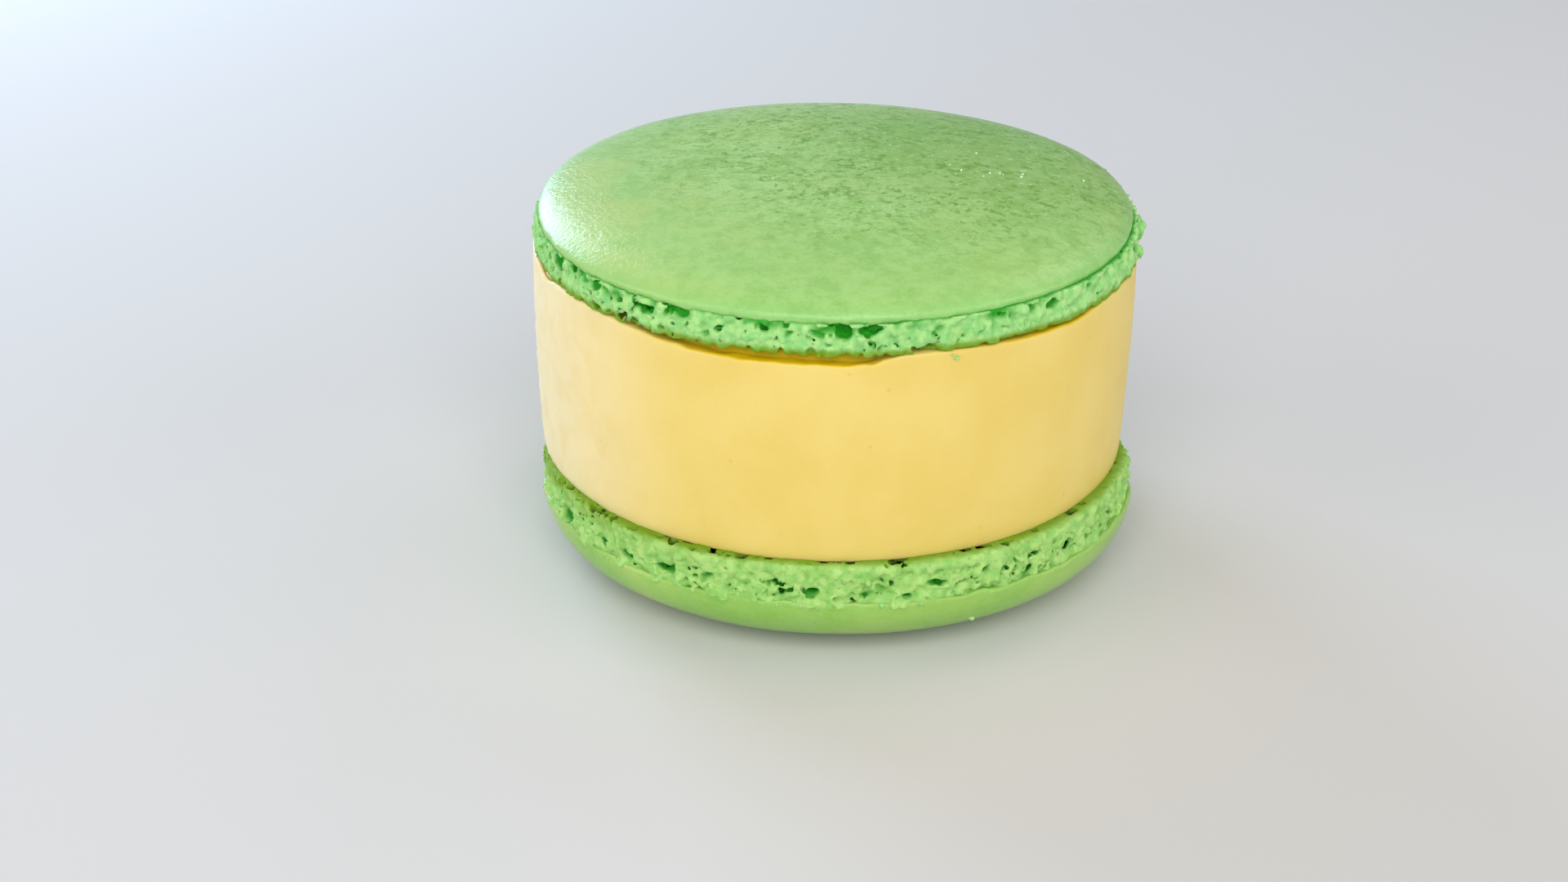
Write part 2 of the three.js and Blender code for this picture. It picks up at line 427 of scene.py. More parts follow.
@dataclass(frozen=True)
class BakedMeringueCrumb:
    """The foot of a macaron shell: the same meringue, risen and torn into an open crumb.

    It is paler and rougher than the skin, and its holes are painted a deep green, as painted shade
    and the painted glow of light that passes through the crumb. Two mesh attributes steer it:
    cavity says how deep in the crumb a place lies, and the second how much it is stained by the
    ice cream that it touches, with painted shade and yellow bounce light from the ice cream there
    too.
    """

    name: str = "baked_meringue_crumb"
    crumb: str = "#a8d684"
    tint: str = "#86c472"
    shade: str = "#62b066"
    # painted shade deep in the crumb's holes
    hollow: str = "#1d9210"
    # melt stain of the ice cream, with painted shade and yellow bounce light from it
    stain_and_shade: str = "#709412"
    # painted shade in the holes beside the ice cream, over the melt stain
    stained_hollow_shade: str = "#1c3806"
    patch_mm: float = 1.2
    shade_mm: float = 0.8  # painted shade: small darker teal patches at random
    grain_mm: float = 0.3
    bump_mm: float = 0.11

    def material(self) -> Material:
        """Builds the material.

        Returns:
            The material.
        """
        surface = Surface(self.name, {
            "Roughness": 0.65, "Specular IOR Level": 0.25, "Subsurface Weight": 0.35,
            "Subsurface Radius": (0.4, 1.0, 0.25), "Subsurface Scale": 0.7 * MM})
        tree, where = surface.tree, surface.where
        patches, thin, grain = (
            Field.of(tree, "ShaderNodeTexNoise",
                     {"Vector": where, "Scale": 1.0 / (size * MM), "Detail": detail})
            for size, detail in ((self.patch_mm, 3.0), (self.shade_mm, 4.0), (self.grain_mm, 3.0)))
        cavity, stain_and_shade_share = (
            Field.of(tree, "ShaderNodeAttribute", {}, "Fac", {"attribute_name": attribute})
            for attribute in ("cavity", "melt_and_shade"))
        outer = surface.layers(self.tint, [
            (patches.ramp(0.32, 0.68), self.crumb),
            # painted shade in small random teal patches
            (thin.ramp(0.52, 0.7, 0.0, 0.5), self.shade),
            # melt stain with painted shade and yellow bounce light beside the ice cream
            (stain_and_shade_share, self.stain_and_shade)])
        inner = surface.layers(self.hollow, [(stain_and_shade_share, self.stained_hollow_shade)])
        # painted shade: places deep in the crumb take the dark green
        colour = surface.layers(outer, [(cavity.ramp(0.2, 0.7), inner)])
        return surface.finished(colour, grain, self.bump_mm)


@dataclass(frozen=True)
class FrozenCustard:
    """Churned ice cream, frozen hard in a ring mould: a smooth, velvety surface with tiny pores.

    Frost, with a painted sheen of the window light, pales its left side, and the mesh attribute
    worn marks where it is broken away under the rim; there a saturated dark yellow is painted as
    the shade under the shell.
    """

    name: str = "frozen_custard"
    base: str = "#dbc05f"
    pale: str = "#e2ca74"
    # frost, with a painted sheen of the window light on the left side
    frost_and_sheen: str = "#fff8e2"
    # painted shade: the saturated dark yellow of the ice cream in the recesses under the shell
    recess_shade: str = "#d6b200"
    pore: str = "#dcae48"
    patch_mm: float = 9.0
    rime_mm: float = 3.0  # patches of thicker frost
    pore_mm: float = 3.4
    grain_mm: float = 0.5
    frost_and_sheen_mm: tuple[float, float] = (-36.0, -16.0)  # from full frost and painted sheen to none, along X
    bump_mm: float = 0.07

    def material(self) -> Material:
        """Builds the material.

        Returns:
            The material.
        """
        surface = Surface(self.name, {
            "Roughness": 0.5, "Subsurface Weight": 0.4, "Subsurface Radius": (0.9, 0.8, 0.3),
            "Subsurface Scale": 1.8 * MM})
        tree, where = surface.tree, surface.where
        patches, rime, grain = (
            Field.of(tree, "ShaderNodeTexNoise",
                     {"Vector": where, "Scale": 1.0 / (size * MM), "Detail": detail})
            for size, detail in ((self.patch_mm, 4.0), (self.rime_mm, 5.0), (self.grain_mm, 4.0)))
        cells = Field.of(tree, "ShaderNodeTexVoronoi",
                         {"Vector": where, "Scale": 1.0 / (self.pore_mm * MM)}, "Distance")
        pores = cells.ramp(0.03, 0.09, 0.5, 0.0)
        across = Field.of(tree, "ShaderNodeSeparateXYZ", {0: where}, "X")
        frost_and_sheen_share = across.ramp(self.frost_and_sheen_mm[0] * MM, self.frost_and_sheen_mm[1] * MM, 0.48, 0.0)
        worn = Field.of(tree, "ShaderNodeAttribute", {}, "Fac", {"attribute_name": "worn"})
        colour = surface.layers(self.base, [
            (patches.ramp(0.3, 0.7, 0.2, 0.8), self.pale),
            (pores, self.pore),
            # frost and a painted sheen of the window light, palest on the left
            (frost_and_sheen_share * rime.ramp(0.3, 0.6, 0.75, 1.0), self.frost_and_sheen),
            # painted shade in the notches under the shell
            (worn, self.recess_shade)])
        return surface.finished(colour, grain - pores, self.bump_mm, 0.5)


@dataclass(frozen=True)
class SugarGlint:
    """Clear grains of sugar, tinted by the skin below them, that flash white towards a light."""

    name: str = "sugar_glint"
    clear: str = "#f2fbe6"
    tinted: str = "#b9dc92"
    grain_mm: float = 0.4

    def material(self) -> Material:
        """Builds the material.

        Returns:
            The material.
        """
        surface = Surface(self.name,
                          {"Roughness": 0.12, "Coat Weight": 0.6, "Coat Roughness": 0.05})
        cloud = Field.of(surface.tree, "ShaderNodeTexNoise",
                         {"Vector": surface.where, "Scale": 1.0 / (self.grain_mm * MM),
                          "Detail": 2.0})
        return surface.finished(surface.layers(self.tinted,
                                               [(cloud.ramp(0.35, 0.6), self.clear)]))


# ---- Macaron shell ----


@dataclass(frozen=True)
class Outline:
    """The slightly uneven round that a piped shell bakes into."""

    squareness: float
    drift: float
    phase: float
    back_trim: float = 0.0  # share by which a half is drawn in; below 0, the half at -Y

    def share(self, azimuth: float) -> float:
        """Works out how far the outline stands out.

        Args:
            azimuth: The direction from the axis, in radians.

        Returns:
            The share of the radius there.
        """
        side = math.copysign(1.0, self.back_trim)
        behind = step_between(side * math.sin(azimuth), *BACK_EDGE)
        return (1.0 - abs(self.back_trim) * behind - self.squareness * math.cos(4.0 * azimuth)
                + self.drift * math.sin(3.0 * azimuth + self.phase)
                + 0.5 * self.drift * math.sin(2.0 * azimuth - self.phase))

    def shape(self, bm: BMesh) -> None:
        """Gives a round body this outline.

        Args:
            bm: The body.
        """
        for vert in bm.verts:
            share = self.share(math.atan2(vert.co.y, vert.co.x))
            vert.co.x *= share
            vert.co.y *= share


@dataclass(frozen=True)
class Hollow:
    """One larger burst bubble in a foot, in degrees and millimetres."""

    azimuth: float
    width: float
    height: float
    depth: float
    level: float  # height of its middle above the foot's face
    inset: float = 0.0  # how far its middle lies in from the foot's side


@dataclass(frozen=True)
class Bubbles:
    """One size of burst bubble scattered through a foot, in millimetres."""

    cell: float  # the space each bubble has
    largest: float  # radius of the largest
    squash: float  # how much wider than high


@dataclass
class OpenCrumb:
    """The ruffled foot of a shell, a ring of open crumb; sizes in millimetres.

    Geometry Nodes sample a density field that is positive inside the crumb: a ring with a crease
    under the cap and lumps all over it, less the bubbles that burst through.
    """

    height: float
    radius: float
    crease: float  # how far the crease always lies in
    crease_swing: float  # how much further it lies in at its openings
    ledge: float  # roundness of the edge between its face and its side
    open_at: float  # share of its height where it is most open
    crown: float  # how far it rises past the crease, under the lip
    middle: tuple[float, float]  # its axis from the ice cream's, seen from above
    hollows: list[Hollow]
    mirrored: bool  # whether the shell is turned over afterwards
    bubbles: tuple[Bubbles, ...] = (Bubbles(2.6, 0.85, 1.4), Bubbles(1.5, 0.68, 1.2),
                                    Bubbles(0.85, 0.42, 1.0))
    calm: float = 1.0  # how large the scattered bubbles are towards +X
    sag: float = 0.26  # how far the crumb hangs past its face
    ice_radius: float = 34.65
    depth: float = 2.4  # from its side to its hidden back
    warp_size: float = 1.25  # size of the unevenness of its lumps and bubbles
    warp_reach: float = 1.5  # how far that shifts them
    wander: float = 1.2  # how far its side wanders in and out
    wander_size: float = 4.5
    tear_size: float = 2.4  # size of the places where it tore open
    grain_size: float = 1.0
    lumps: tuple[tuple[float, float], ...] = ((1.4, 0.85), (0.7, 0.3))  # their sizes and depths
    room: tuple[float, float] = (1.5, 0.4)  # beside it, and above and below, in the sampled block
    voxel: float = 0.2
    adaptivity: float = 0.03  # how much the mesh is thinned where it is flat
    keep: float = 0.56  # share of its faces that are left after thinning

    def bubble_walls(self, tree: NodeTree, where: NodeSocket, size: Bubbles,
                     plenty: Field) -> Field:
        """Works out the distance outside the nearest bubble of one size.

        Args:
            tree: The node tree.
            where: The places.
            size: The bubbles' size.
            plenty: How large they are from place to place, as a share.

        Returns:
            The distance, below 0 inside a bubble.
        """
        stretched = add_node(tree, "ShaderNodeVectorMath", {"operation": "MULTIPLY"},
                             {0: where, 1: (1.0, 1.0, size.squash)})
        cells = add_node(tree, "ShaderNodeTexVoronoi", {},
                         {"Vector": stretched.outputs[0], "Scale": 1.0 / size.cell})
        chance = Field.of(tree, "FunctionNodeSeparateColor", {0: cells.outputs["Color"]})
        return Field(tree, cells.outputs["Distance"]) * size.cell - chance * plenty * size.largest

    def hollow_wall(self, tree: NodeTree, where: NodeSocket,
                    hollow: Hollow) -> Field:
        """Works out the distance outside one larger hollow.

        Args:
            tree: The node tree.
            where: The places.
            hollow: The hollow.

        Returns:
            The distance, below 0 inside the hollow.
        """
        turn = math.radians(-hollow.azimuth if self.mirrored else hollow.azimuth)
        reach = self.radius - hollow.inset
        middle = Vector((reach * math.cos(turn), reach * math.sin(turn), hollow.level))
        offset = add_node(tree, "ShaderNodeVectorMath", {"operation": "SUBTRACT"},
                          {0: where, 1: middle})
        turned = add_node(tree, "ShaderNodeVectorRotate", {"rotation_type": "Z_AXIS"},
                          {"Vector": offset.outputs[0], "Angle": -turn})
        scaled = add_node(tree, "ShaderNodeVectorMath", {"operation": "DIVIDE"},
                          {0: turned.outputs[0],
                           1: (hollow.depth, hollow.width / 2.0, hollow.height / 2.0)})
        outside = Field.of(tree, "ShaderNodeVectorMath", {0: scaled.outputs[0]}, "Value",
                           {"operation": "LENGTH"})
        half = hollow.height / 2.0
        return outside * half - half

    def warp(self, tree: NodeTree, where: NodeSocket) -> NodeSocket:
        """Shifts each place a little, so that lumps and bubbles are not round.

        Args:
            tree: The node tree.
            where: The places.

        Returns:
            The shifted places.
        """
        jitter = add_node(tree, "ShaderNodeTexNoise", {},
                          {"Vector": where, "Scale": 1.0 / self.warp_size, "Detail": 4.0})
        centred = add_node(tree, "ShaderNodeVectorMath", {"operation": "SUBTRACT"},
                           {0: jitter.outputs["Color"], 1: (0.5, 0.5, 0.5)})
        return add_node(tree, "ShaderNodeVectorMath", {"operation": "MULTIPLY_ADD"},
                        {0: centred.outputs[0], 1: Vector.Fill(3, self.warp_reach),
                         2: where}).outputs[0]

    def meshed(self, tree: NodeTree, density: Field, attributes: dict[str, Field]) -> NodeSocket:
        """Samples a density field and turns it into a mesh.

        Args:
            tree: The node tree.
            density: Above 0 inside the crumb.
            attributes: Fields to store on the mesh, by name.

        Returns:
            The output that holds the mesh.
        """
        beside, above = self.room
        reach = self.radius + beside
        low = Vector((-reach, -reach, -above))
        high = Vector((reach, reach, self.height + self.crown + above))
        counts = [round(side_mm / self.voxel) for side_mm in (high - low)]
        cube = add_node(tree, "GeometryNodeVolumeCube", {},
                        {"Density": density, "Background": -1.0, "Min": low, "Max": high,
                         "Resolution X": counts[0], "Resolution Y": counts[1],
                         "Resolution Z": counts[2]})
        geometry = add_node(tree, "GeometryNodeVolumeToMesh", {},
                            {"Volume": cube.outputs[0], "Threshold": 0.0,
                             "Adaptivity": self.adaptivity}).outputs[0]
        for name, value in attributes.items():
            geometry = add_node(tree, "GeometryNodeStoreNamedAttribute",
                                {"data_type": "FLOAT", "domain": "POINT"},
                                {"Geometry": geometry, "Name": name, "Value": value}).outputs[0]
        return geometry

    def node_tree(self) -> NodeTree:
        """Builds the tree that grows the crumb; its numbers are millimetres and shares.

        Returns:
            The node tree; its mesh carries the attribute cavity and another for the melt stain,
            with painted shade and bounce light beside the ice cream.
        """
        tree = bpy.data.node_groups.new("open_crumb", "GeometryNodeTree")
        tree.interface.new_socket("Geometry", in_out="OUTPUT", socket_type="NodeSocketGeometry")
        where = add_node(tree, "GeometryNodeInputPosition").outputs[0]
        warped = self.warp(tree, where)
        axes = add_node(tree, "ShaderNodeSeparateXYZ", {}, {0: where})
        across, level = (Field(tree, axes.outputs[axis]) for axis in "XZ")
        ice_middle = (-self.middle[0], self.middle[1] if self.mirrored else -self.middle[1])
        away = level_distance(tree, where, (0.0, 0.0))
        from_ice = level_distance(tree, where, ice_middle) - self.ice_radius
        swell, tear, grain = (
            Field.of(tree, "ShaderNodeTexNoise",
                     {"Vector": where, "Scale": 1.0 / size, "Detail": detail})
            for size, detail in ((self.wander_size, 3.0), (self.tear_size, 2.0),
                                 (self.grain_size, 4.0)))
        coarse, fine = (
            Field.of(tree, "ShaderNodeTexVoronoi", {"Vector": warped, "Scale": 1.0 / size},
                     "Distance").math("POWER", 2.0) * -depth
            for size, depth in self.lumps)

        # The ring of crumb, with its crease and its rounded ledge, and the lumps all over it.
        wander = (swell - 0.5) * self.wander
        openness = tear.ramp(0.47, 0.64)
        face = level + self.sag
        crown = level * -1.0 + (self.height + self.crown)
        side = away * -1.0 + self.radius + wander
        recess = (openness * self.crease_swing + self.crease) * level.ramp(0.5 * self.height,
                                                                           self.height)
        whole = side.math("SMOOTH_MIN", face, self.ledge)
        crumb = (side - recess).math("SMOOTH_MIN", crown, 0.2).math("SMOOTH_MIN", face, self.ledge)
        outward = away.ramp(self.radius - 1.1, self.radius - 0.3)
        lumpy = (coarse + fine + grain * 1.1 - 0.27) * outward
        solid = crumb + lumpy * level.ramp(0.2, 1.3, 0.45, 1.0)

        # Scattered bubbles, most where the foot tore open and beside the ice cream; then hollows.
        off_open = (level - self.open_at * self.height) * (2.0 / self.height)
        near_ice = (from_ice + wander).ramp(0.5, 1.9, 1.0, 0.0)
        open_band = (off_open * off_open * -1.0 + 1.0).math("MAXIMUM", near_ice)
        plenty = (openness * 0.5 + 0.65) * (open_band * 0.75 + 0.25)
        plenty = plenty * across.ramp(0.1 * self.radius, 0.6 * self.radius, 1.0, self.calm)
        for size in self.bubbles:
            wall = self.bubble_walls(tree, warped, size, plenty)
            solid = solid.math("SMOOTH_MIN", wall, 0.1)
        for hollow in self.hollows:
            wall = self.hollow_wall(tree, warped, hollow)
            solid = solid.math("SMOOTH_MIN", wall, 0.2)
        back = away - (self.radius - self.depth)
        density = solid.math("MINIMUM", crown).math("MINIMUM", face).math("MINIMUM", back)

        # melt stain with painted shade and yellow bounce light, low on the crumb beside the ice
        # cream
        touched = (from_ice + wander * 0.6).ramp(0.3, 1.9, 1.0, 0.0)
        stain_and_shade_share = touched * level.ramp(0.4 * self.ledge, 2.0 * self.ledge, 1.0, 0.0)
        geometry = self.meshed(tree, density, {"cavity": whole * 0.8, "melt_and_shade": stain_and_shade_share})
        tree.links.new(geometry, add_node(tree, "NodeGroupOutput").inputs[0])
        return tree

    def grow(self) -> BMesh:
        """Grows the crumb into a mesh and drops its loose scraps.

        Returns:
            The crumb, about the shell's own axis.
        """
        grower = in_scene("crumb_grower", bpy.data.meshes.new("crumb_seed"))
        tree = self.node_tree()
        grower.modifiers.new("crumb", "NODES").node_group = tree
        grower.modifiers.new("thinner", "DECIMATE").ratio = self.keep
        grown = grower.evaluated_get(bpy.context.evaluated_depsgraph_get())
        mesh = bpy.data.meshes.new_from_object(grown)
        bpy.data.objects.remove(grower)
        bpy.data.node_groups.remove(tree)
        bm = bmesh.new()
        bm.from_mesh(mesh)
        bpy.data.meshes.remove(mesh)
        drop_scraps(bm)
        return bm


def drop_scraps(bm: BMesh) -> None:
    """Deletes loose scraps, keeping only the largest connected body.

    Args:
        bm: The mesh to clean.
    """
    unseen = set(bm.verts)
    bodies = []
    while unseen:
        edge_of = [unseen.pop()]
        body = list(edge_of)
        while edge_of:
            for edge in edge_of.pop().link_edges:
                for other in edge.verts:
                    if other in unseen:
                        unseen.remove(other)
                        body.append(other)
                        edge_of.append(other)
        bodies.append(body)
    bodies.sort(key=len)
    scraps = [vert for body in bodies[:-1] for vert in body]
    bmesh.ops.delete(bm, geom=scraps, context="VERTS")


@dataclass
class SkinCap:
    """The smooth domed cap of a shell; sizes in millimetres."""

    base: float  # height of the crease that it starts from
    radius: float
    lip: float  # height from the crease to the widest place
    tuck: float  # how far the lip curls in to the crease
    dome_height: float
    fullness: float
    flat_height: float  # where the dome is cut flat
    raggedness: float  # how uneven the lip is
    phase: float
    steps: int = 400  # faces round it
    lip_steps: int = 7
    dimple: float = 0.1  # depth of its faint dimples
    dimple_size: float = 11.0
    grain: float = 0.02  # depth of its fine grain
    grain_size: float = 1.9
    ragged_size: float = 2.4
    dome_step: float = 0.6  # length of a face up the dome

    def profile(self) -> list[tuple[float, float]]:
        """Draws the cap's profile: its hidden underside, its rolled lip and its dome.

        Returns:
            Points of (radius, height), from the axis below to the axis on top.
        """
        widest = self.base + self.lip
        points = [(0.0, self.base + 0.3), (self.radius - 4.0, self.base + 0.3)]
        points += [(self.radius - self.tuck - 1.2, self.base + 0.15)]
        for i in range(self.lip_steps):
            angle = math.radians(-100.0 + 95.0 * i / self.lip_steps)
            points.append((self.radius - self.tuck + self.tuck * math.cos(angle),
                           widest + self.lip * math.sin(angle)))
        steps = round(1.15 * self.radius / self.dome_step)
        flat_angle = math.acos(min(1.0, self.flat_height / self.dome_height))
        for i in range(steps + 1):
            angle = math.pi / 2.0 + (flat_angle - math.pi / 2.0) * (i / steps) ** 1.6
            radius = self.radius * math.sin(angle) ** (2.0 / self.fullness)
            points.append((max(0.0, radius), widest + self.dome_height * math.cos(angle)))
        inner, top = points[-1]
        rings = round(inner / (2.0 * self.dome_step))
        points += [(inner * (1.0 - i / rings), top) for i in range(1, rings)]
        if inner > 0.0:
            points.append((0.0, top))
        return points

    def grow(self) -> BMesh:
        """Spins the cap and gives it faint dimples and an uneven lip.

        Returns:
            The cap, about the shell's own axis.
        """
        bm = spun(self.profile(), self.steps)
        widest = self.base + self.lip
        lip = bm.verts.layers.float.new("lip")
        for vert in bm.verts:
            spot = vert.co.copy()
            # marks the lip, where the skin material paints a reflection of the pale sky
            vert[lip] = 1.0 - step_between(spot.z, widest + 0.3, widest + 1.5)
            outward = Vector((spot.x, spot.y, 0.0)).normalized()
            on_dome = step_between(spot.z, widest, widest + 2.0)
            dimple = noise.noise(spot / self.dimple_size + Vector((self.phase, 3.0, 7.0)))
            grain = grain_noise(spot, self.grain_size, self.phase)
            vert.co.z += (self.dimple * dimple + self.grain * grain) * on_dome
            on_lip = 1.0 - step_between(spot.z, self.base + 0.2, widest + 0.7)
            ragged = (grain_noise(spot, self.ragged_size, self.phase + 1.0) * on_lip
                      * self.raggedness)
            vert.co += Vector((0.0, 0.0, ragged)) + 0.35 * ragged * outward
        return bm


@dataclass
class MacaronShell:
    """One macaron shell: a smooth cap on a crumbly foot."""

    node: str
    label: str
    outline: Outline
    foot: OpenCrumb
    cap: SkinCap
    turned_over: bool
    cap_at: tuple[float, float]  # the cap's axis from the ice cream's, seen from above

    def place(self, middle: tuple[float, float]) -> Matrix:
        """Works out the place of a layer of the shell, turned over if need be.

        Args:
            middle: The layer's axis from the ice cream's, seen from above.

        Returns:
            The place, in millimetres.
        """
        low, high = (Vector(corner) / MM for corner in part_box(self.node))
        spot = ice_base() + Vector((*middle, 0.0))
        if self.turned_over:
            return Matrix.Translation((spot.x, spot.y, high.z)) @ Matrix.Rotation(math.pi, 4, "X")
        return Matrix.Translation((spot.x, spot.y, low.z))

    def build(self, skin: Material, crumb: Material) -> None:
        """Builds the cap and the foot, which stand for the shell's CAD node.

        Args:
            skin: The cap's material.
            crumb: The foot's material.
        """
        for part, name, finish, middle in ((self.cap, "cap", skin, self.cap_at),
                                           (self.foot, "foot", crumb, self.foot.middle)):
            bm = part.grow()
            self.outline.shape(bm)
            piece = finish_piece(bm, f"{self.label}_{name}", self.place(middle), finish)
            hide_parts(self.node)


# ---- Ice cream ----


@dataclass(frozen=True)
class Notch:
    """A stretch of the ice cream's top rim that is worn or broken away, as a step.

    Azimuths are in degrees and run counterclockwise from above; the rest is in millimetres.
    """

    start: float
    end: float
    ease_in: float  # degrees over which it deepens from its start
    ease_out: float  # degrees over which it ends
    drop: float
    inward: float
    recess_shade_share: float = 1.0  # how much painted shade under the shell shows in its step, as a saturated dark yellow

    def share(self, azimuth: float) -> float:
        """Works out how much of the notch there is somewhere on the rim.

        Args:
            azimuth: The direction from the axis, in degrees.

        Returns:
            The share of its depth there.
        """
        along = (azimuth - self.start) % 360.0
        left = (self.end - azimuth) % 360.0
        if along > self.end - self.start:
            return 0.0
        return step_between(along, 0.0, self.ease_in) * step_between(left, 0.0, self.ease_out)


@dataclass
class IceCreamDisc:
    """The disc of ice cream, in millimetres."""

    node: str = "ice_cream"
    taper: float = 0.35
    belly: float = 0.25
    bottom_edge: float = 0.3
    top_edge: float = 0.3
    sink: float = 0.3  # how far it has settled into the lower shell
    step_in: float = 2.2  # how far in the notches reach
    notches: list[Notch] = field(default_factory=lambda: [
        Notch(-141.0, -78.0, 31.0, 9.0, 0.95, 1.3),
        Notch(-168.0, -153.0, 8.0, 4.0, 0.6, 0.6, 0.7),
        Notch(-76.0, -33.0, 28.0, 10.0, 0.4, 1.0),
        Notch(38.0, 78.0, 12.0, 5.0, 0.8, 1.4),
    ])
    wave: float = 0.12  # depth of its side's slow waves
    wave_size: float = 12.0
    rime: float = 0.1  # depth of the rime on its left side
    rime_size: float = 1.3
    grain: float = 0.022  # depth of its fine grain
    grain_size: float = 3.1
    fray: float = 1.2  # degrees by which the notches' ends wander
    fray_size: float = 1.5
    raggedness: float = 0.25  # share by which a notch's depth varies
    steps: int = 540  # faces round it
    side_step: float = 0.42  # length of a face up its side

    def profile(self, radius: float, height: float) -> list[tuple[float, float]]:
        """Draws the disc's profile from the middle of its base to the middle of its top.

        Args:
            radius: The disc's radius at its top rim.
            height: Its height above the lower shell.

        Returns:
            Points of (radius, height).
        """
        base = radius - self.taper
        points = [(0.0, -self.sink), (base - 6.0, -self.sink), (base - 2.0, -self.sink)]
        for i in range(5):
            angle = math.radians(-90.0 + 22.5 * i)
            points.append((base - self.bottom_edge * (1.0 - math.cos(angle)),
                           self.bottom_edge * (1.0 + math.sin(angle)) - self.sink))
        low, high = self.bottom_edge - self.sink, height - self.top_edge
        rings = round((high - low) / self.side_step)
        for i in range(1, rings):
            share = i / rings
            points.append((base + self.taper * share + self.belly * math.sin(math.pi * share),
                           low + (high - low) * share))
        for i in range(5):
            angle = math.radians(22.5 * i)
            points.append((radius - self.top_edge * (1.0 - math.cos(angle)),
                           high + self.top_edge * math.sin(angle)))
        points += [(radius - self.step_in * share, height) for share in (0.5, 0.75, 0.95, 1.0)]
        points += [(radius - self.step_in - inset, height) for inset in (0.02, 0.6, 2.0, 5.0)]
        points.append((0.0, height))
        return points

    def build(self, finish: Material) -> bpy.types.Object:
        """Builds the disc, which stands for its CAD node.

        Args:
            finish: The ice cream's material.

        Returns:
            The disc.
        """
        low, high = (Vector(corner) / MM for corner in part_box(self.node))
        radius, height = (high.x - low.x) / 2.0 - self.belly / 2.0, high.z - low.z
        bm = spun(self.profile(radius, height), self.steps)
        step_edge = radius - self.step_in - 0.01
        worn = bm.verts.layers.float.new("worn")
        for vert in bm.verts:
            spot = vert.co.copy()
            azimuth = math.degrees(math.atan2(spot.y, spot.x))
            outward = Vector((spot.x, spot.y, 0.0)).normalized()
            reach = math.hypot(spot.x, spot.y)
            on_side = step_between(reach, radius - 4.0, radius - 2.0)
            rime = (self.rime * grain_noise(spot, self.rime_size, 9.0)
                    * step_between(-spot.x, 0.6 * radius, radius))
            grain = self.grain * grain_noise(spot, self.grain_size, 4.0)
            wave = self.wave * noise.noise(spot / self.wave_size)
            vert.co += outward * (wave + rime + grain) * on_side
            for notch in self.notches:
                share = notch.share(azimuth + self.fray * noise.noise(spot / self.fray_size))
                ragged = share * (1.0 + self.raggedness * noise.noise(spot / 2.0))
                if reach > step_edge:
                    vert.co.z -= notch.drop * ragged * step_between(spot.z, height - 3.0,
                                                                    height - 0.5)
                    inner = step_between(reach, radius - 0.2, step_edge)
                else:
                    inner = step_between(reach, step_edge - 0.7, step_edge)
                vert.co += outward * (self.step_in - notch.inward) * inner * share
                # worn marks the notch's step, where the material paints the shade under the shell
                in_step = step_between(spot.z, height - 0.25, height - 0.05)
                recess_shade_share = (share * notch.recess_shade_share * in_step
                         * step_between(reach, step_edge - 0.5, step_edge))
                vert[worn] = max(vert[worn], recess_shade_share)
        disc = finish_piece(bm, "ice_cream_disc", Matrix.Translation(ice_base()), finish)
        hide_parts(self.node)
        return disc


# ---- Crumbs ----


@dataclass(frozen=True)
class Crumb:
    """One stray crumb: where it sits and how large it is, in millimetres and degrees."""

    azimuth: float
    radius: float  # from the ice cream's axis
    level: float  # above the base of the ice cream
    width: float
    height: float
    thickness: float


@dataclass
class StrayCrumbs:
    """Crumbs that have broken off the shells and cling to the macaron's side."""

    lumpiness: float = 0.45  # share by which a crumb's surface varies
    bulge: float = 1.6  # how much thicker it is, with the back that sinks into the side
    crumbs: list[Crumb] = field(default_factory=lambda: [
        Crumb(-69.6, 35.0, 23.2, 0.5, 0.45, 0.3),
        Crumb(-70.4, 35.0, 23.6, 0.25, 0.25, 0.2),
        Crumb(-3.5, 34.95, 25.9, 2.3, 3.0, 0.9),
        Crumb(-12.0, 35.0, 25.0, 1.4, 1.5, 0.7),
        Crumb(-82.0, 36.5, -4.7, 0.5, 0.5, 0.35),
        Crumb(-93.0, 36.3, -5.0, 0.35, 0.3, 0.3),
        Crumb(-64.5, 35.3, -8.6, 0.8, 0.6, 0.5),
        Crumb(74.0, 35.1, 21.6, 0.9, 0.7, 0.5),
        Crumb(131.0, 35.05, 9.5, 0.6, 0.5, 0.4),
    ])

    def build(self, finish: Material) -> None:
        """Builds the crumbs as one piece.

        Args:
            finish: The material of the shells' crumb.
        """
        bm = bmesh.new()
        for crumb in self.crumbs:
            made = bmesh.ops.create_icosphere(bm, subdivisions=4, radius=0.5)["verts"]
            seed = Vector((crumb.azimuth, crumb.level, 0.0))
            turn = Matrix.Rotation(math.radians(crumb.azimuth), 4, "Z")
            for vert in made:
                lump = 1.0 + self.lumpiness * noise.fractal(vert.co * 3.0 + seed, 0.8, 2.0, 3)
                vert.co = vert.co * lump
                vert.co = Vector((vert.co.x * crumb.thickness * self.bulge,
                                  vert.co.y * crumb.width, vert.co.z * crumb.height))
                vert.co = turn @ (vert.co + Vector((crumb.radius, 0.0, crumb.level)))
        finish_piece(bm, "stray_crumbs", Matrix.Translation(ice_base()), finish)


